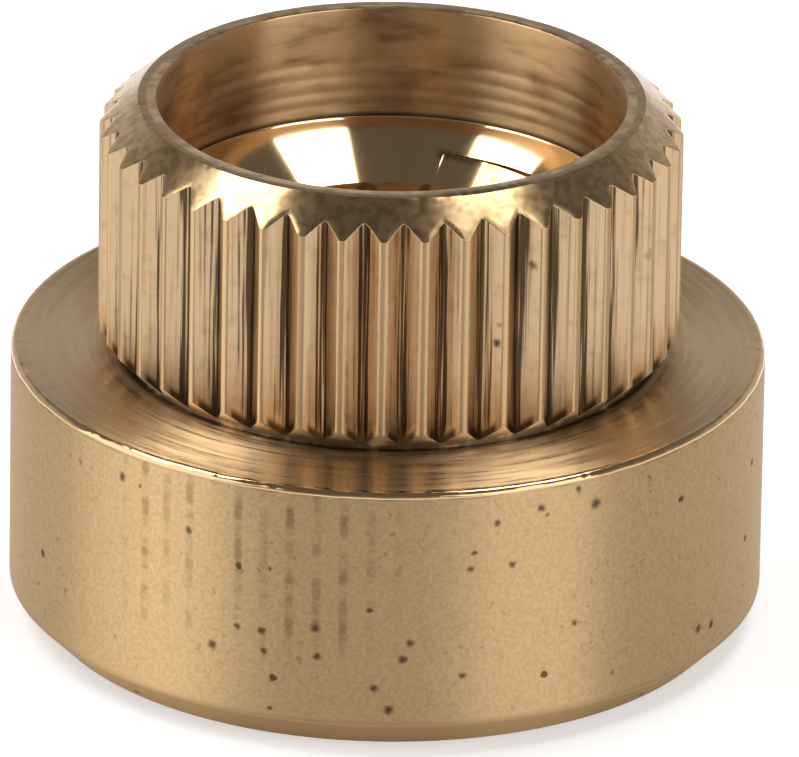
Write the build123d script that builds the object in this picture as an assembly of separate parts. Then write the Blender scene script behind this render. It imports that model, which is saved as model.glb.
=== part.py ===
from build123d import *
import os
from math import radians, sqrt, tan

# Knurled round nut, turned in one piece from brass bar.
# Millimetres, +Z up along the thread's axis, origin at the centre of the underside.

# M5 coarse thread, right through the nut. The hole is modelled plain, at the thread's minor diameter.
thread_major_diameter = 5.0
thread_pitch = 0.8
countersink_clearance = 0.1

# Counterbore in the spigot, with the drill point's cone under it
counterbore_clearance = 0.45
counterbore_depth = 1.48
drill_point_angle = 118.0

# Spigot on top of the flange
spigot_wall = 0.71
spigot_height = 3.3
spigot_chamfer_width = 0.48
spigot_chamfer_height = 0.4

# Straight knurl round the spigot
knurl_teeth = 44
knurl_depth = 0.21
knurl_groove_angle = 90.0

# Undercut between the knurl and the flange
undercut_depth = 0.29
undercut_land = 0.02
undercut_angle = 45.0

# Plain round flange
shoulder_width = 1.09
flange_height = 3.56
flange_bottom_chamfer = 0.42
flange_top_edge_break = 0.05

# How far a cutting tool reaches past the metal it cuts
tool_reach = 0.5

# Radii, from the thread outwards. An internal thread is five eighths of its sharp triangle high.
thread_height = 5 / 8 * sqrt(3) / 2 * thread_pitch
major_radius = thread_major_diameter / 2
minor_radius = major_radius - thread_height
countersink_radius = major_radius + countersink_clearance
counterbore_radius = major_radius + counterbore_clearance
knurl_radius = counterbore_radius + spigot_wall
groove_root_radius = knurl_radius - knurl_depth
neck_radius = knurl_radius - undercut_depth
flange_radius = knurl_radius + shoulder_width

# Heights, from the underside upwards
countersink_top = countersink_radius - minor_radius
neck_top = flange_height + undercut_land
knurl_bottom = neck_top + undercut_depth / tan(radians(undercut_angle))
nut_top = flange_height + spigot_height
counterbore_floor = nut_top - counterbore_depth
cone_bottom = counterbore_floor - (counterbore_radius - minor_radius) / tan(radians(drill_point_angle / 2))


def turned_blank():
    """The nut before knurling: half its section, turned once round the axis."""
    flange = [
        (countersink_radius, 0),
        (flange_radius - flange_bottom_chamfer, 0),
        (flange_radius, flange_bottom_chamfer),
        (flange_radius, flange_height - flange_top_edge_break),
        (flange_radius - flange_top_edge_break, flange_height),
    ]
    spigot = [
        (neck_radius, flange_height),
        (neck_radius, neck_top),
        (knurl_radius, knurl_bottom),
        (knurl_radius, nut_top - spigot_chamfer_height),
        (knurl_radius - spigot_chamfer_width, nut_top),
    ]
    hole = [
        (counterbore_radius, nut_top),
        (counterbore_radius, counterbore_floor),
        (minor_radius, cone_bottom),
        (minor_radius, countersink_top),
    ]
    half_section = Polyline(*flange, *spigot, *hole, close=True)
    return revolve(make_face(Plane.XZ * half_section), Axis.Z)


def knurl_grooves():
    """Straight V grooves round the spigot, which run out into the undercut and the top chamfer."""
    mouth_radius = knurl_radius + tool_reach
    half_mouth = (mouth_radius - groove_root_radius) * tan(radians(knurl_groove_angle / 2))
    v_section = Polyline(
        (groove_root_radius, 0), (mouth_radius, half_mouth), (mouth_radius, -half_mouth), close=True
    )
    groove_length = nut_top + tool_reach - neck_top
    groove = extrude(Plane.XY.offset(neck_top) * make_face(v_section), amount=groove_length)
    pitch_angle = 360 / knurl_teeth
    # A crest faces straight forward, along -Y, with a groove on either side of it
    first_groove = -90 + pitch_angle / 2
    return [Rot(0, 0, first_groove + tooth * pitch_angle) * groove for tooth in range(knurl_teeth)]


os.makedirs("parts", exist_ok=True)
nut = turned_blank() - knurl_grooves()
nut.label = "knurled_nut"
export_step(nut, "parts/knurled_nut.step")
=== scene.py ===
import bpy
import random
from math import cos, exp, log, pi, radians, sin, sqrt, tan
from mathutils import Matrix, Vector, noise


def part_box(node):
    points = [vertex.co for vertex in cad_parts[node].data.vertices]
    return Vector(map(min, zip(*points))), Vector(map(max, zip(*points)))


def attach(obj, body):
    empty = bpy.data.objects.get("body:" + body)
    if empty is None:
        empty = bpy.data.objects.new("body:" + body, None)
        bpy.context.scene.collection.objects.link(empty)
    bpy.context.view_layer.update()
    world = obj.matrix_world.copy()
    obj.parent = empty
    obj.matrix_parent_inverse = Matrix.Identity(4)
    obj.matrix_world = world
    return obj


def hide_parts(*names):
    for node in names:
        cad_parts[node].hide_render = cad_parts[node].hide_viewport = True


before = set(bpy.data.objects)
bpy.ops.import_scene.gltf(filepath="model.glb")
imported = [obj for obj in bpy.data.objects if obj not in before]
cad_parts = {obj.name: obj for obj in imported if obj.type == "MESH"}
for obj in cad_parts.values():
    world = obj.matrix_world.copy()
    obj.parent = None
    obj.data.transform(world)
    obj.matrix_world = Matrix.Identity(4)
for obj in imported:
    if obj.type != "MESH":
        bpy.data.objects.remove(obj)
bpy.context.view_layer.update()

# Sizes of the nut in millimetres. The flange's radius and the full height come from the frame.
MM = 0.001
NODE = "knurled_nut"
box_low, box_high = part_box(NODE)
flange_radius = round(box_high.x / MM, 3)
nut_top = round(box_high.z / MM, 3)

# Flange
flange_height = 3.56
flange_bottom_chamfer = 0.42
flange_edge_break = 0.05

# Spigot, with its knurl, top chamfer and undercut
knurl_radius = 3.66
knurl_depth = 0.21
knurl_teeth = 44
spigot_chamfer_width = 0.48
spigot_chamfer_height = 0.4
undercut_depth = 0.29
undercut_land = 0.02
rim_radius = knurl_radius - spigot_chamfer_width
neck_radius = knurl_radius - undercut_depth
neck_top = flange_height + undercut_land

# Hole: counterbore, drill point's cone, thread and countersink
counterbore_radius = 2.95
counterbore_depth = 1.48
drill_point_angle = 118
thread_pitch = 0.8
thread_height = 5 / 8 * sqrt(3) / 2 * thread_pitch
countersink_clearance = 0.1
major_radius = 2.5
minor_radius = major_radius - thread_height
counterbore_floor = nut_top - counterbore_depth
cone_slope = tan(radians(drill_point_angle / 2))
cone_bottom = counterbore_floor - (counterbore_radius - minor_radius) / cone_slope
countersink_radius = major_radius + countersink_clearance
countersink_top = countersink_radius - minor_radius

chance = random.Random(7)

# Kinds of surface, each with its own material
TURNED, FACED, BRIGHT_CUT, CHAMFERED, KNURLED, BORED, THREADED = range(7)


# Mesh of the nut

# Angles of the mesh's columns in one half tooth, in degrees from the groove's root to the crest's middle
TOOTH_ANGLE = 360 / knurl_teeth
HALF_TOOTH = [0, 0.35, 1.1, 2.0, 2.75, 3.12, 3.37, 3.62, TOOTH_ANGLE / 2]

# Small rounds of the groove's root and of the crest's edges
ROOT_ROUNDING = 0.006
CREST_ROUNDING = 0.007

# How deep below the knurl's radius the metal still counts as a turned crest
CREST_DEPTH = 0.025

# How uneven the knurl is from tooth to tooth: millimetres, and degrees for the shift
GROOVE_DEPTH_SPREAD = 0.006
GROOVE_SHIFT_SPREAD = 0.09
CREST_SPREAD = 0.003


class Groove:
    """One knurl groove, a little off its nominal place and depth as a real one is."""

    def __init__(self):
        self.depth = knurl_depth + chance.gauss(0, GROOVE_DEPTH_SPREAD)
        self.shift = chance.gauss(0, GROOVE_SHIFT_SPREAD)

    def radius(self, angle):
        """Radius of the V groove's wall at an angle in degrees from its nominal middle."""
        a = radians(angle - self.shift)
        side = sqrt(sin(a) ** 2 + ROOT_ROUNDING ** 2) - ROOT_ROUNDING
        return (knurl_radius - self.depth) / (cos(a) - side)


def softer_minimum(a, b, width):
    """The smaller of two values, with a small round of about this width where they cross."""
    return -width * log(exp(-(a - b) / width) + 1) + b


def knurl_columns():
    """Angle and knurl radius of each column of the mesh, once round the nut."""
    grooves = [Groove() for _ in range(knurl_teeth)]
    columns = []
    for tooth in range(knurl_teeth):
        crest = knurl_radius - abs(chance.gauss(0, CREST_SPREAD))
        crest_angle = -90 + tooth * TOOTH_ANGLE
        before, after = grooves[tooth], grooves[(tooth + 1) % knurl_teeth]
        for away in HALF_TOOTH[:-1]:
            r = softer_minimum(before.radius(away), crest, CREST_ROUNDING)
            columns.append((crest_angle - TOOTH_ANGLE / 2 + away, r))
        for away in reversed(HALF_TOOTH[1:]):
            r = softer_minimum(after.radius(-away), crest, CREST_ROUNDING)
            columns.append((crest_angle + TOOTH_ANGLE / 2 - away, r))
    return columns


class Corner:
    """A corner of the section: its round, and the divisions and kind of the run to the next corner."""

    def __init__(self, radius, height, rounding=0.0, divisions=1, kind=TURNED):
        self.point = Vector((radius, height))
        self.rounding = rounding
        self.divisions = divisions
        self.kind = kind


# Feed marks on the counterbore's wall: their heights, and the (height, radius) steps over each
BORE_RING_HEIGHTS = (6.14, 5.94, 5.74, 5.56)
BORE_RING_SHAPE = ((0.06, 0), (0.025, 0.011), (-0.02, 0.009), (-0.05, 0))

# Width of the cone's uppermost band, which ends the outside section
CONE_BAND = 0.04


def outside_corners(knurl_r):
    """Section from the countersink's edge underneath, round the outside, to the top of the cone."""
    undercut_height = neck_top + knurl_r - neck_radius
    chamfer_share = (knurl_r - rim_radius) / spigot_chamfer_width
    chamfer_height = nut_top - spigot_chamfer_height * chamfer_share
    corners = [
        Corner(countersink_radius, 0, 0, 3),
        Corner(flange_radius - flange_bottom_chamfer, 0, 0.03, 2),
        Corner(flange_radius, flange_bottom_chamfer, 0.04, 12),
        Corner(flange_radius, flange_height - flange_edge_break, 0.05, 1, BRIGHT_CUT),
        Corner(flange_radius - flange_edge_break, flange_height, 0.05, 1, BRIGHT_CUT),
        Corner(flange_radius - 2 * flange_edge_break, flange_height, 0, 8, FACED),
        Corner(neck_radius, flange_height, 0.008, 1),
        Corner(neck_radius, neck_top, 0.008, 2),
        Corner(knurl_r, undercut_height, 0.02, 10, KNURLED),
        Corner(knurl_r, chamfer_height, 0.012, 4, CHAMFERED),
        Corner(rim_radius, nut_top, 0.01, 2, BRIGHT_CUT),
        Corner(counterbore_radius, nut_top, 0.012, 5, BORED),
    ]
    for ring in BORE_RING_HEIGHTS:
        for rise, cut in BORE_RING_SHAPE:
            corners.append(Corner(counterbore_radius + cut, ring + rise, 0, 1, BORED))
    corners.append(Corner(counterbore_radius, counterbore_floor, 0.012, 1, BRIGHT_CUT))
    corners.append(Corner(counterbore_radius - CONE_BAND, counterbore_floor - CONE_BAND / cone_slope))
    return corners


# A round takes at most this share of the run on either side of it
LONGEST_ROUND = 0.45


def corner_points(corners, k, steps=3):
    """The points of one corner, as a small round where it has a rounding."""
    corner = corners[k]
    if corner.rounding == 0 or k in (0, len(corners) - 1):
        return [corner.point]
    to_before = corners[k - 1].point - corner.point
    to_after = corners[k + 1].point - corner.point
    turn = pi - to_before.angle(to_after)
    longest = LONGEST_ROUND * min(to_before.length, to_after.length)
    reach = min(corner.rounding * tan(turn / 2), longest)
    start = corner.point + to_before.normalized() * reach
    end = corner.point + to_after.normalized() * reach
    points = []
    for step in range(steps + 1):
        t = step / steps
        points.append(start * (1 - t) ** 2 + corner.point * 2 * t * (1 - t) + end * t ** 2)
    return points


def outside_section(knurl_r):
    """Points of the section with their rounds and divisions, and the kind of the face after each."""
    corners = outside_corners(knurl_r)
    points, kinds = [], []
    for k, corner in enumerate(corners):
        here = corner_points(corners, k)
        if points:
            start, divisions = points[-1], corners[k - 1].divisions
            for step in range(1, divisions):
                points.append(start.lerp(here[0], step / divisions))
                kinds.append(corners[k - 1].kind)
        points += here
        kinds += [corner.kind] * len(here)
    return points, kinds


# Wear: how far it reaches from the flange's edge and down from the rim, and its (depth, frequency)
EDGE_WEAR_REACH = 0.12
EDGE_DENTS = ((0.010, 2.3), (0.006, 9.0))
RIM_WEAR_REACH = 0.06
RIM_DENTS = ((0.006, 3.1), (0.004, 11.0))


def dent(p, dents):
    """How far the metal is dented at a point, up to the depths added together."""
    return sum(depth * noise.noise(p * frequency) for depth, frequency in dents)


def worn(p):
    """A point with the small dents of the flange's upper edge or of the spigot's rim."""
    r = sqrt(p.x ** 2 + p.y ** 2)
    if r > flange_radius - EDGE_WEAR_REACH and p.z > flange_height - EDGE_WEAR_REACH:
        amount = dent(p, EDGE_DENTS)
        inward = Vector((-p.x / r, -p.y / r, 0)) * max(0, amount)
        return p + inward + Vector((0, 0, min(0, amount * 0.6)))
    if p.z > nut_top - RIM_WEAR_REACH:
        return p - Vector((0, 0, max(0, dent(p, RIM_DENTS))))
    return p


# The thread. Its top turn runs out on the cone, where the cone is as wide as the groove's root.
# The root is an eighth of the pitch wide, and the flanks stand at 60 degrees to each other.
THREAD_START = 76
ROOT_HALF_WIDTH = thread_pitch / 16
FLANK = tan(radians(60 / 2))
START_HEIGHT = cone_bottom + (major_radius - minor_radius) / cone_slope + ROOT_HALF_WIDTH


def hole_wall(z):
    """Radius of the hole without its thread."""
    if z < countersink_top:
        return countersink_radius - z
    if z < cone_bottom:
        return minor_radius
    return minor_radius + (z - cone_bottom) * cone_slope


def groove_heights(angle):
    """Heights of the middle of each turn of the thread's groove at one angle, from the bottom up."""
    z = START_HEIGHT - thread_pitch * ((THREAD_START - angle) % 360) / 360
    heights = []
    while z > -thread_pitch:
        heights.append(z)
        z -= thread_pitch
    return heights[::-1]


def thread_wall(z, middles):
    """Radius of the thread's groove at a height, or less than the hole's where there is no groove."""
    away = min(abs(z - middle) for middle in middles)
    return major_radius - max(0, away - ROOT_HALF_WIDTH) / FLANK


# Points of a column that are closer together than this become one
CLOSEST_POINTS = 0.002


def hole_column(angle, top):
    """Points (radius, height) of the threaded hole's wall at one angle, from the underside up to top."""
    middles = groove_heights(angle)
    heights = {0, countersink_top, cone_bottom, top[1]}
    reach = ROOT_HALF_WIDTH + (major_radius - minor_radius) * FLANK
    for middle in middles:
        heights |= {middle + side * away for side in (-1, 1) for away in (ROOT_HALF_WIDTH, reach)}
        heights.add(middle - thread_pitch / 2)
    heights = sorted(z for z in heights if 0 <= z <= top[1])
    crossings = []
    for low, high in zip(heights, heights[1:]):
        gap_low = thread_wall(low, middles) - hole_wall(low)
        gap_high = thread_wall(high, middles) - hole_wall(high)
        if gap_low * gap_high < 0:
            crossings.append(low + (high - low) * gap_low / (gap_low - gap_high))
    points = []
    for z in sorted(heights + crossings):
        point = Vector((max(thread_wall(z, middles), hole_wall(z)), z))
        if points and (point - points[-1]).length < CLOSEST_POINTS:
            continue
        while len(points) > 1 and straight(points[-2], points[-1], point):
            points.pop()
        points.append(point)
    points[-1] = Vector(top)
    return points


def straight(a, b, c):
    """Whether three points lie on one line."""
    u, v = b - a, c - b
    return abs(u.x * v.y - u.y * v.x) < 1e-5 * u.length * v.length + 1e-9


def spin(point, angle):
    """A point (radius, height) of the section, turned to an angle in degrees from the x axis."""
    a = radians(angle)
    return Vector((point[0] * cos(a), point[0] * sin(a), point[1]))


def zipped(left, right, vertices):
    """Triangles between two neighbouring chains of vertices, always over the shorter diagonal."""
    triangles, i, j = [], 0, 0
    while i < len(left) - 1 or j < len(right) - 1:
        up_left = up_right = float("inf")
        if i < len(left) - 1:
            up_left = (vertices[left[i + 1]] - vertices[right[j]]).length
        if j < len(right) - 1:
            up_right = (vertices[left[i]] - vertices[right[j + 1]]).length
        if up_left <= up_right:
            triangles.append((left[i], left[i + 1], right[j]))
            i += 1
        else:
            triangles.append((left[i], right[j + 1], right[j]))
            j += 1
    return triangles


def hole_kind(triangle, vertices):
    """The cone is cut bright, and all below it is thread."""
    just_below = cone_bottom - 0.02
    on_cone = all(vertices[v].z > just_below for v in triangle)
    return BRIGHT_CUT if on_cone else THREADED


def nut_mesh():
    """Vertices in millimetres, faces and the kind of each face of the whole nut, closed all round."""
    vertices, faces, kinds, sections, walls = [], [], [], [], []
    columns = knurl_columns()
    for angle, knurl_r in columns:
        points, section_kinds = outside_section(knurl_r)
        section = list(range(len(vertices), len(vertices) + len(points)))
        vertices += [worn(spin(point, angle)) for point in points]
        inside = hole_column(angle, points[-1])[1:-1]
        wall = [section[0], *range(len(vertices), len(vertices) + len(inside)), section[-1]]
        vertices += [spin(point, angle) for point in inside]
        sections.append(section)
        walls.append(wall)
    for k, section in enumerate(sections):
        following = (k + 1) % len(sections)
        beside = sections[following]
        crest = min(columns[k][1], columns[following][1]) > knurl_radius - CREST_DEPTH
        for j in range(len(section) - 1):
            faces.append((section[j], beside[j], beside[j + 1], section[j + 1]))
            kind = section_kinds[j]
            kinds.append(TURNED if crest and kind == KNURLED else kind)
        triangles = zipped(walls[k], walls[following], vertices)
        faces += triangles
        kinds += [hole_kind(triangle, vertices) for triangle in triangles]
    return vertices, faces, kinds


# Edges that turn by more than this stay sharp
SHARP_EDGE = radians(28)


def nut_piece():
    """The nut as one smooth object, with its sharp edges kept."""
    vertices, faces, kinds = nut_mesh()
    mesh = bpy.data.meshes.new("brass_nut")
    mesh.from_pydata([v * MM for v in vertices], [], faces)
    mesh.polygons.foreach_set("use_smooth", [True] * len(mesh.polygons))
    mesh.polygons.foreach_set("material_index", kinds)
    mesh.set_sharp_from_angle(angle=SHARP_EDGE)
    mesh.update()
    piece = bpy.data.objects.new("brass_nut", mesh)
    bpy.context.scene.collection.objects.link(piece)
    even = piece.modifiers.new("even_normals", "WEIGHTED_NORMAL")
    even.keep_sharp = True
    even.weight = 80
    return piece


# Materials

BRASS = (0.73, 0.50, 0.265, 1)
PALE_BRASS = (0.57, 0.40, 0.24, 1)
# The tarnish colour is also painted as shade on the flange's foot and along its upper edge. The dark dirt
# colour is also painted as shade in corners and in the knurl's roots.
TARNISH_AND_SHADE = (0.30, 0.18, 0.08, 1)
DIRT_AND_SHADE = (0.07, 0.042, 0.02, 1)

# Most of a noise's values lie between these two
NOISE_LOW, NOISE_HIGH = 0.35, 0.65

# The colour sockets of a Mix node: first colour, second colour and result
FIRST_COLOUR, SECOND_COLOUR, MIXED_COLOUR = 6, 7, 2


class Finish:
    """The nodes of one brass surface. Its places are in millimetres, and its angles run from the front."""

    def __init__(self, name, roughness, anisotropy):
        self.material = bpy.data.materials.new(name)
        self.material.use_nodes = True
        self.tree = self.material.node_tree
        self.shader = self.tree.nodes["Principled BSDF"]
        self.shader.inputs["Base Color"].default_value = BRASS
        self.shader.inputs["Metallic"].default_value = 1
        self.shader.inputs["Roughness"].default_value = roughness
        self.shader.inputs["Anisotropic"].default_value = anisotropy
        # With a quarter turn the highlights spread across the turning marks
        self.shader.inputs["Anisotropic Rotation"].default_value = 0.25
        tangent = self.node("ShaderNodeTangent", direction_type="RADIAL", axis="Z")
        self.give(self.shader.inputs["Tangent"], tangent.outputs["Tangent"])
        metres = self.node("ShaderNodeTexCoord").outputs["Object"]
        self.place = self.scaled(metres, 1 / MM)
        self.x, self.y, self.z = self.node("ShaderNodeSeparateXYZ", self.place).outputs
        self.radius = self.math("SQRT", self.total(self.square(self.x), self.square(self.y)))
        turned = self.math("ARCTAN2", self.x, self.product(self.y, -1))
        self.angle = self.math("DEGREES", turned)
        self.ragged_place = self.ragged(0.07, 12)

    def node(self, kind, *values, **settings):
        made = self.tree.nodes.new(kind)
        for key, setting in settings.items():
            setattr(made, key, setting)
        for socket, value in zip(made.inputs, values):
            self.give(socket, value)
        return made

    def give(self, socket, value):
        """Give a socket a number or another node's output."""
        if isinstance(value, bpy.types.NodeSocket):
            self.tree.links.new(value, socket)
        else:
            socket.default_value = value

    def math(self, operation, *values):
        return self.node("ShaderNodeMath", *values, operation=operation).outputs[0]

    def vector_math(self, operation, *values):
        made = self.node("ShaderNodeVectorMath", *values, operation=operation)
        return made.outputs["Value" if operation == "DISTANCE" else "Vector"]

    def folded(self, operation, first, *others):
        for other in others:
            first = self.math(operation, first, other)
        return first

    def total(self, *values):
        return self.folded("ADD", *values)

    def product(self, *values):
        return self.folded("MULTIPLY", *values)

    def most(self, *values):
        return self.folded("MAXIMUM", *values)

    def square(self, value):
        return self.product(value, value)

    def less(self, value, amount):
        return self.math("SUBTRACT", value, amount)

    def vector(self, x, y, z):
        return self.node("ShaderNodeCombineXYZ", x, y, z).outputs[0]

    def scaled(self, vector, scale):
        made = self.node("ShaderNodeVectorMath", vector, operation="SCALE")
        made.inputs["Scale"].default_value = scale
        return made.outputs["Vector"]

    def fade(self, value, none, full):
        """0 where the value is at none, 1 where it is at full, and soft between them."""
        made = self.node("ShaderNodeMapRange", value, none, full, interpolation_type="SMOOTHSTEP")
        return made.outputs["Result"]

    def noise(self, place, size, detail=2.0):
        """Noise from 0 to 1 with features of about this size."""
        made = self.node("ShaderNodeTexNoise")
        self.give(made.inputs["Vector"], place)
        made.inputs["Scale"].default_value = 1 / size
        made.inputs["Detail"].default_value = detail
        return made.outputs["Fac"]

    def ragged(self, reach, frequency):
        """The place, moved about a little, for marks with an uneven outline."""
        made = self.node("ShaderNodeTexNoise")
        self.give(made.inputs["Vector"], self.place)
        made.inputs["Scale"].default_value = frequency
        moved = self.vector_math("SUBTRACT", made.outputs["Color"], (0.5, 0.5, 0.5))
        return self.vector_math("ADD", self.place, self.scaled(moved, reach))

    def around(self, spread, along):
        """A place for noise that is drawn out round the nut, where along sets its course across."""
        ray = self.vector_math("NORMALIZE", self.vector(self.x, self.y, 0))
        return self.vector_math("ADD", self.scaled(ray, spread), self.vector(0, 0, along))

    def across(self):
        """How far a point is along the section: height and radius together."""
        return self.total(self.z, self.product(self.radius, 1.3))

    def mixed(self, share, first, second):
        made = self.node("ShaderNodeMix", data_type="RGBA")
        self.give(made.inputs["Factor"], share)
        self.give(made.inputs[FIRST_COLOUR], first)
        self.give(made.inputs[SECOND_COLOUR], second)
        return made.outputs[MIXED_COLOUR]

    def bump(self, height, depth):
        made = self.node("ShaderNodeBump")
        made.inputs["Distance"].default_value = depth * MM
        self.give(made.inputs["Height"], height)
        self.give(self.shader.inputs["Normal"], made.outputs["Normal"])

    def turning_marks(self, pitch, depth):
        """Fine marks of the cutting tool, each about a twentieth of the way round the nut."""
        self.rings = self.noise(self.around(3 * pitch, self.across()), pitch, 3)
        self.bump(self.rings, depth)

    def uneven_roughness(self, value, low, high):
        """Roughness from low to high, by a noise."""
        made = self.node("ShaderNodeMapRange", value, NOISE_LOW, NOISE_HIGH, low, high)
        self.give(self.shader.inputs["Roughness"], made.outputs["Result"])

    def scattered_pits(self, cell, size, share):
        """Small round pits: one in about this share of the cells of a cell pattern."""
        cells = self.node("ShaderNodeTexVoronoi")
        self.give(cells.inputs["Vector"], self.ragged_place)
        cells.inputs["Scale"].default_value = 1 / cell
        luck = self.node("ShaderNodeSeparateColor", cells.outputs["Color"]).outputs[0]
        chosen = self.fade(luck, 1 - share, 1 - share * 0.7)
        reach = self.product(chosen, size / cell)
        return self.fade(self.less(cells.outputs["Distance"], reach), 0, -0.4 * size / cell)

    def placed_pits(self, pits, radius):
        """Pits at known (angle, height, size) on a round surface of this radius."""
        depths = []
        for angle, height, size in pits:
            a = radians(angle)
            middle = (radius * sin(a), -radius * cos(a), height)
            away = self.vector_math("DISTANCE", self.ragged_place, middle)
            depths.append(self.fade(away, 1.25 * size, 0.2 * size))
        return self.most(*depths)

    def neck_shade(self, reach):
        """Painted shade in the corner under the knurl's lower end, out to this far from the neck."""
        inside = self.fade(self.radius, neck_radius + reach, neck_radius + reach / 3)
        low = self.fade(self.z, neck_top + 0.42, neck_top + 0.2)
        patchy = self.fade(self.noise(self.place, 0.3), 0.25, 0.5)
        return self.product(inside, low, patchy, 0.9)

    def coloured(self, base, brown, dirt_and_shade):
        """Gives the surface its colour. brown and dirt say how much of the tarnish colour and of the dark
        dirt colour cover it. Besides real tarnish and dirt, both paint shade in places.
        """
        tarnished = self.mixed(brown, base, TARNISH_AND_SHADE)
        self.give(self.shader.inputs["Base Color"], self.mixed(dirt_and_shade, tarnished, DIRT_AND_SHADE))


# Marks on the flange's side: (angle from the front, height, radius) in degrees and millimetres
SIDE_PITS = (
    (-42.4, 3.16, 0.07), (-29.7, 2.73, 0.06), (-25.4, 1.26, 0.07), (-21.4, 1.58, 0.055),
    (-17.4, 1.58, 0.06), (-17.0, 1.30, 0.055), (-9.1, 1.70, 0.075), (-8.9, 1.32, 0.06),
    (-0.9, 1.98, 0.05), (5.1, 1.54, 0.06), (4.1, 1.32, 0.065), (13.1, 1.07, 0.055),
    (-0.2, 0.92, 0.06), (2.1, 0.63, 0.075), (18.1, 3.10, 0.055), (20.6, 2.52, 0.055),
    (14.1, 2.52, 0.055), (25.1, 3.22, 0.06), (34.4, 3.14, 0.085), (31.4, 3.38, 0.06),
    (31.1, 1.57, 0.05), (57.1, 0.85, 0.07),
)

# Marks on the knurl, and rows of marks that run together on the rim and at the thread's end
KNURL_PITS = (
    (-66.0, 5.05, 0.10), (16.0, 5.3, 0.06), (24.0, 5.25, 0.055), (23.2, 5.0, 0.07),
    (30.5, 5.95, 0.08), (33.5, 4.8, 0.07), (65.5, 5.5, 0.12),
)
RIM_STAINS = [(angle, nut_top, 0.11) for angle in range(15, 34, 3)]
THREAD_END_STAINS = [(angle, 5.08 - 0.006 * (165 - angle), 0.09) for angle in range(150, 167, 2)]

# Chatter marks on the flange's side: the angle from one to the next, and how far the row is turned
CHATTER_STEP = TOOTH_ANGLE / 2
CHATTER_SHIFT = 0.9


def chatter_marks(finish):
    """Upright marks, two to a tooth, broken up and down, on the upper part of the flange's left front."""
    shifted = finish.total(finish.angle, CHATTER_SHIFT)
    column = finish.math("ROUND", finish.math("DIVIDE", shifted, CHATTER_STEP))
    line = finish.fade(finish.math("PINGPONG", shifted, CHATTER_STEP / 2), 1.0, 0.25)
    dots = finish.noise(finish.vector(finish.product(column, 3.7), 0, finish.z), 0.3, 3)
    long_marks = finish.noise(finish.vector(column, 0, finish.product(finish.z, 0.3)), 0.4)
    streaks = finish.product(finish.fade(long_marks, 0.4, 0.6), 0.45)
    broken = finish.most(finish.fade(dots, 0.40, 0.60), streaks)
    strength = finish.fade(finish.noise(finish.vector(column, 7, 0), 1.7, 0), 0.25, 0.6)
    left = finish.fade(finish.angle, -46, -36)
    right = finish.fade(finish.angle, 10, -6)
    upper = finish.fade(finish.z, 1.0, 1.9)
    return finish.product(line, broken, left, right, upper, strength)


def turned_brass():
    """The flange's side and the knurl's crests: turned round, dull along the axis, and pitted."""
    finish = Finish("turned_brass", roughness=0.52, anisotropy=1.0)
    finish.turning_marks(0.045, 0.0006)
    speckle = finish.fade(finish.noise(finish.place, 0.09), 0.60, 0.75)
    patches = finish.fade(finish.noise(finish.place, 0.9), 0.42, 0.65)
    grain = finish.fade(finish.noise(finish.place, 0.055, 1), 0.3, 0.7)
    on_side = finish.fade(finish.radius, knurl_radius + 0.2, flange_radius - 0.2)
    wear = finish.total(
        finish.product(chatter_marks(finish), 0.6),
        finish.product(speckle, patches, 0.5),
        finish.product(grain, 0.2),
    )
    # A painted dark band along the top of the flange's side, standing in for the edge break's dark
    # reflection, broken up by a noise.
    edge = finish.fade(finish.z, flange_height - 0.13, flange_height - 0.05)
    broken_edge = finish.fade(finish.noise(finish.place, 0.5), 0.38, 0.6)
    # Painted shade at the foot: the low chamfer is browned, standing in for the shadowed floor under the
    # nut that it mirrors.
    foot_shade = finish.fade(finish.z, 1.25 * flange_bottom_chamfer, 0.8 * flange_bottom_chamfer)
    # brown mixes real wear with painted shade at the upper edge and at the foot.
    brown = finish.most(
        finish.product(wear, on_side),
        finish.product(edge, on_side, broken_edge, 0.8),
        finish.product(foot_shade, 0.75),
    )
    # Real pits, with painted shade in the corner under the knurl added among them.
    pits = finish.most(
        finish.placed_pits(SIDE_PITS, flange_radius),
        finish.scattered_pits(0.42, 0.06, 0.22),
        finish.neck_shade(0.27),
    )
    finish.coloured(BRASS, brown, finish.product(pits, 0.85))
    return finish.material


def faced_brass():
    """The flange's upper face: clean cut round the nut, so it mirrors the knurl in long streaks."""
    finish = Finish("faced_brass", roughness=0.3, anisotropy=1.0)
    finish.turning_marks(0.08, 0.004)
    finish.uneven_roughness(finish.rings, 0.24, 0.40)
    # The dark band next to the neck is painted shade, for the dark undercut that this face mirrors there.
    finish.coloured(BRASS, 0, finish.most(finish.scattered_pits(0.6, 0.06, 0.25), finish.neck_shade(0.14)))
    return finish.material


def bright_cut_brass():
    """The rim, the cone and the flange's edge, freshly cut and nearly a mirror."""
    finish = Finish("bright_cut_brass", roughness=0.08, anisotropy=0.5)
    finish.turning_marks(0.06, 0.0002)
    clouds = finish.fade(finish.noise(finish.place, 0.35), 0.35, 0.6)
    outer = finish.fade(finish.radius, rim_radius - 0.14, rim_radius - 0.08)
    on_rim = finish.fade(finish.z, nut_top - 0.05, nut_top - 0.01)
    brown = finish.product(finish.most(clouds, outer), on_rim, 0.7)
    stains = finish.most(
        finish.placed_pits(RIM_STAINS, rim_radius - 0.06),
        finish.placed_pits(THREAD_END_STAINS, major_radius),
    )
    finish.coloured(BRASS, brown, finish.product(stains, 0.7))
    return finish.material


def chamfered_brass():
    """The spigot's top chamfer, turned, with brown mottling."""
    finish = Finish("chamfered_brass", roughness=0.20, anisotropy=0.9)
    finish.turning_marks(0.05, 0.0008)
    mottle = finish.fade(finish.noise(finish.place, 0.13, 1), 0.36, 0.70)
    brown = finish.total(finish.product(mottle, 0.45), 0.2)
    finish.coloured(BRASS, brown, finish.scattered_pits(0.5, 0.06, 0.3))
    return finish.material


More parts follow.
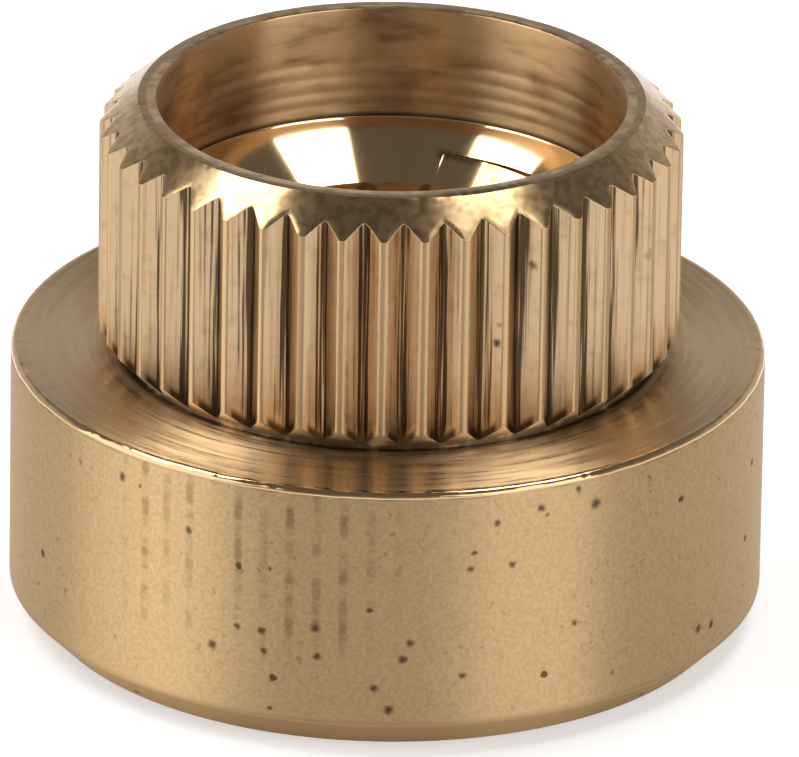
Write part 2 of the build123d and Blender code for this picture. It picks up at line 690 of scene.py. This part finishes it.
def knurled_brass():
    """The knurl's flanks, streaked along the teeth, with dark dirt and painted shade in the roots and
    painted shade at the teeth's lower ends.
    """
    finish = Finish("knurled_brass", roughness=0.34, anisotropy=0.3)
    along = finish.vector(finish.angle, 0, finish.product(finish.z, 0.22))
    streaks = finish.noise(along, 0.55)
    finish.bump(streaks, 0.004)
    blotches = finish.fade(finish.noise(finish.place, 0.22), 0.5, 0.75)
    brown = finish.total(finish.fade(streaks, 0.48, 0.72), finish.product(blotches, 0.35))
    depth = finish.math("DIVIDE", finish.less(knurl_radius, finish.radius), knurl_depth)
    uneven_depth = finish.total(depth, finish.product(finish.less(streaks, 0.5), 1.6))
    # The roots go darker with depth: dirt, deepened by painted shade for the grooves' dark insides.
    root = finish.fade(uneven_depth, 0.66, 0.92)
    # Painted shade at the teeth's lower ends, where the grooves run out into the undercut.
    above_end = finish.less(finish.less(finish.z, finish.radius), neck_top - neck_radius)
    low_end_shade = finish.product(finish.fade(above_end, 0.17, 0.05), finish.fade(depth, 0.15, 0.4))
    pits = finish.placed_pits(KNURL_PITS, knurl_radius - knurl_depth / 3)
    dirt_and_shade = finish.product(finish.most(pits, root, low_end_shade), 0.97)
    finish.coloured(PALE_BRASS, finish.product(brown, 0.75), dirt_and_shade)
    return finish.material


def bored_brass():
    """The counterbore's wall, turned, with brown rings and clouds, and painted shade just above its floor.
    """
    finish = Finish("bored_brass", roughness=0.38, anisotropy=1.0)
    finish.turning_marks(0.05, 0.0008)
    bands = finish.fade(finish.noise(finish.around(0.6, finish.z), 0.16), 0.45, 0.7)
    clouds = finish.fade(finish.noise(finish.place, 0.8, 3), 0.45, 0.7)
    brown = finish.total(finish.product(bands, 0.45), finish.product(clouds, 0.4))
    # Painted shade in the corner just above the counterbore's floor.
    ledge_shade = finish.fade(finish.z, counterbore_floor + 0.09, counterbore_floor + 0.02)
    finish.coloured(BRASS, brown, finish.product(ledge_shade, 0.85))
    return finish.material


def threaded_brass():
    """The thread, brown in patches, with the dirt at its end."""
    finish = Finish("threaded_brass", roughness=0.3, anisotropy=0.5)
    brown = finish.fade(finish.noise(finish.place, 0.25), 0.45, 0.7)
    finish.coloured(BRASS, brown, finish.placed_pits(THREAD_END_STAINS, major_radius))
    return finish.material


# One material for each kind of surface, in the order of the kinds
piece = nut_piece()
for material in (
    turned_brass(),
    faced_brass(),
    bright_cut_brass(),
    chamfered_brass(),
    knurled_brass(),
    bored_brass(),
    threaded_brass(),
):
    piece.data.materials.append(material)
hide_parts(NODE)
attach(piece, "root")


# Stage: floor, room, lights and camera. Distances in metres.


def emission_for(tree, rays, strength):
    """A white emission that only the named kinds of ray see."""
    path = tree.nodes.new("ShaderNodeLightPath")
    seen = path.outputs[rays[0]]
    for ray in rays[1:]:
        either = tree.nodes.new("ShaderNodeMath")
        either.operation = "MAXIMUM"
        tree.links.new(seen, either.inputs[0])
        tree.links.new(path.outputs[ray], either.inputs[1])
        seen = either.outputs[0]
    level = tree.nodes.new("ShaderNodeMath")
    level.operation = "MULTIPLY"
    level.inputs[1].default_value = strength
    tree.links.new(seen, level.inputs[0])
    glow = tree.nodes.new("ShaderNodeEmission")
    tree.links.new(level.outputs[0], glow.inputs["Strength"])
    return glow


# The floor's glow, as the camera and as mirrors see it
CAMERA_RAYS = ("Is Camera Ray",)
CAMERA_GLOW = 0.45
MIRROR_RAYS = ("Is Glossy Ray", "Is Transmission Ray")
MIRROR_GLOW = 0.36


def stage_object(name, vertices, faces, material):
    mesh = bpy.data.meshes.new(name)
    mesh.from_pydata(vertices, [], faces)
    mesh.materials.append(material)
    thing = bpy.data.objects.new(name, mesh)
    bpy.context.scene.collection.objects.link(thing)
    return thing


def pale_floor():
    """A white table, which glows a little to the camera and in the metal, and keeps the shadow."""
    material = bpy.data.materials.new("pale_floor")
    material.use_nodes = True
    tree = material.node_tree
    shader = tree.nodes["Principled BSDF"]
    shader.inputs["Base Color"].default_value = (0.8, 0.8, 0.8, 1)
    shader.inputs["Roughness"].default_value = 1
    shader.inputs["Specular IOR Level"].default_value = 0
    total = shader
    for rays, strength in ((CAMERA_RAYS, CAMERA_GLOW), (MIRROR_RAYS, MIRROR_GLOW)):
        glow = emission_for(tree, rays, strength)
        both = tree.nodes.new("ShaderNodeAddShader")
        tree.links.new(total.outputs[0], both.inputs[0])
        tree.links.new(glow.outputs[0], both.inputs[1])
        total = both
    tree.links.new(total.outputs[0], tree.nodes["Material Output"].inputs["Surface"])
    size = 1.5
    corners = [(-size, -size, 0), (size, -size, 0), (size, size, 0), (-size, size, 0)]
    stage_object("floor", corners, [(0, 1, 2, 3)], material)


# The room's grey by height: (sine of the height above the horizon, brightness)
ROOM_GREYS = ((0.0, 0.7), (0.38, 0.48), (0.52, 0.22), (0.75, 0.14), (1.0, 0.13))


def grey_room():
    """A dome round the stage, pale low down and dark overhead, that the metal mirrors."""
    material = bpy.data.materials.new("grey_room")
    material.use_nodes = True
    tree = material.node_tree
    place = tree.nodes.new("ShaderNodeTexCoord")
    upward = tree.nodes.new("ShaderNodeVectorMath")
    upward.operation = "NORMALIZE"
    tree.links.new(place.outputs["Object"], upward.inputs[0])
    parts = tree.nodes.new("ShaderNodeSeparateXYZ")
    tree.links.new(upward.outputs[0], parts.inputs[0])
    greys = tree.nodes.new("ShaderNodeValToRGB")
    ramp = greys.color_ramp
    while len(ramp.elements) < len(ROOM_GREYS):
        ramp.elements.new(0.5)
    for element, (position, level) in zip(ramp.elements, ROOM_GREYS):
        element.position = position
        element.color = (level, level, level, 1)
    tree.links.new(parts.outputs["Z"], greys.inputs["Fac"])
    glow = tree.nodes.new("ShaderNodeEmission")
    tree.links.new(greys.outputs["Color"], glow.inputs["Color"])
    tree.links.new(glow.outputs[0], tree.nodes["Material Output"].inputs["Surface"])
    tree.nodes.remove(tree.nodes["Principled BSDF"])
    rings, sides, size = 16, 48, 2.0
    vertices, faces = [], []
    for ring in range(rings + 1):
        lift = pi / 2 * ring / rings
        for side in range(sides):
            a = 2 * pi * side / sides
            vertices.append((size * cos(lift) * cos(a), size * cos(lift) * sin(a), size * sin(lift)))
    for ring in range(rings):
        for side in range(sides):
            after = (side + 1) % sides
            low, high = ring * sides, (ring + 1) * sides
            faces.append((low + side, low + after, high + after, high + side))
    dome = stage_object("grey_room", vertices, faces, material)
    dome.visible_camera = False


def softbox(name, middle, along, size, radiance):
    """An area lamp that faces the nut. middle is its place, and along is the way its long side runs."""
    lamp = bpy.data.lights.new(name, "AREA")
    lamp.shape = "RECTANGLE"
    lamp.size, lamp.size_y = size
    # A lamp of this power has the given radiance all over its face
    lamp.energy = radiance * pi * size[0] * size[1]
    thing = bpy.data.objects.new(name, lamp)
    bpy.context.scene.collection.objects.link(thing)
    place = Vector(middle)
    back = place.normalized()
    upward = (Vector(along) - back * back.dot(Vector(along))).normalized()
    across = upward.cross(back)
    turn = Matrix((across, upward, back)).transposed()
    thing.matrix_world = Matrix.Translation(place) @ turn.to_4x4()
    thing.visible_camera = False


def white_world():
    world = bpy.data.worlds.new("studio")
    bpy.context.scene.world = world
    world.use_nodes = True
    background = world.node_tree.nodes["Background"]
    background.inputs["Color"].default_value = (1, 1, 1, 1)
    background.inputs["Strength"].default_value = 1


# Camera: the photograph's viewpoint, fitted to its ellipses. Its distance and its target, which is
# to the right of the axis and up from the underside, are in flange radii.
PICTURE_WIDTH = 799
VIEW_ELEVATION = radians(23.7)
VIEW_AZIMUTH = radians(1.1)
PICTURE_ROLL = radians(0.93)
RADII_AWAY = 45
PIXELS_PER_RADIUS = 377
TARGET_RIGHT, TARGET_UP = 0.0317, 0.6396


def photo_camera():
    """The camera stands far off, with a long lens, as the photo's nearly parallel edges ask for."""
    unit = flange_radius * MM
    data = bpy.data.cameras.new("photo_camera")
    data.sensor_width = 36
    data.lens = PIXELS_PER_RADIUS * RADII_AWAY * data.sensor_width / PICTURE_WIDTH
    data.clip_start, data.clip_end = 0.01, 10
    a, e = VIEW_AZIMUTH, VIEW_ELEVATION
    right = Vector((cos(a), sin(a), 0))
    back = Vector((sin(a) * cos(e), -cos(a) * cos(e), sin(e)))
    up = back.cross(right)
    target = right * TARGET_RIGHT * unit + Vector((0, 0, TARGET_UP * unit))
    rolled_right = right * cos(PICTURE_ROLL) + up * sin(PICTURE_ROLL)
    rolled_up = up * cos(PICTURE_ROLL) - right * sin(PICTURE_ROLL)
    camera = bpy.data.objects.new("photo_camera", data)
    bpy.context.scene.collection.objects.link(camera)
    turn = Matrix((rolled_right, rolled_up, back)).transposed()
    camera.matrix_world = Matrix.Translation(target + back * RADII_AWAY * unit) @ turn.to_4x4()
    bpy.context.scene.camera = camera


# Height of the overhead softboxes above the nut
LAMP_HEIGHT = 0.5


def hanging(x, y):
    """Middle of an overhead softbox, x and y being shares of its height."""
    return (x * LAMP_HEIGHT, y * LAMP_HEIGHT, LAMP_HEIGHT)


# The light tent's two walls stand beside the nut, a little in front of it
WALL_DISTANCE = 0.6
WALL_ELEVATION = radians(30)


def standing(azimuth):
    """Middle of a wall at an azimuth in degrees, counted from the front to the right."""
    a, e = radians(azimuth), WALL_ELEVATION
    return (WALL_DISTANCE * sin(a) * cos(e), -WALL_DISTANCE * cos(a) * cos(e), WALL_DISTANCE * sin(e))


pale_floor()
grey_room()
white_world()
softbox("softbox_left", hanging(-0.545, 0.225), along=(0.53, 0.85, 0), size=(0.185, 0.34), radiance=6.3)
softbox("softbox_right", hanging(0.292, 0.235), along=(-0.3, 0.954, 0), size=(0.155, 0.30), radiance=6.8)
softbox("tent_left", standing(-76), along=(0, 0, 1), size=(0.60, 0.56), radiance=1.3)
softbox("tent_right", standing(48), along=(0, 0, 1), size=(0.42, 0.56), radiance=1.5)
photo_camera()

view = bpy.context.scene.view_settings
view.view_transform = "Standard"
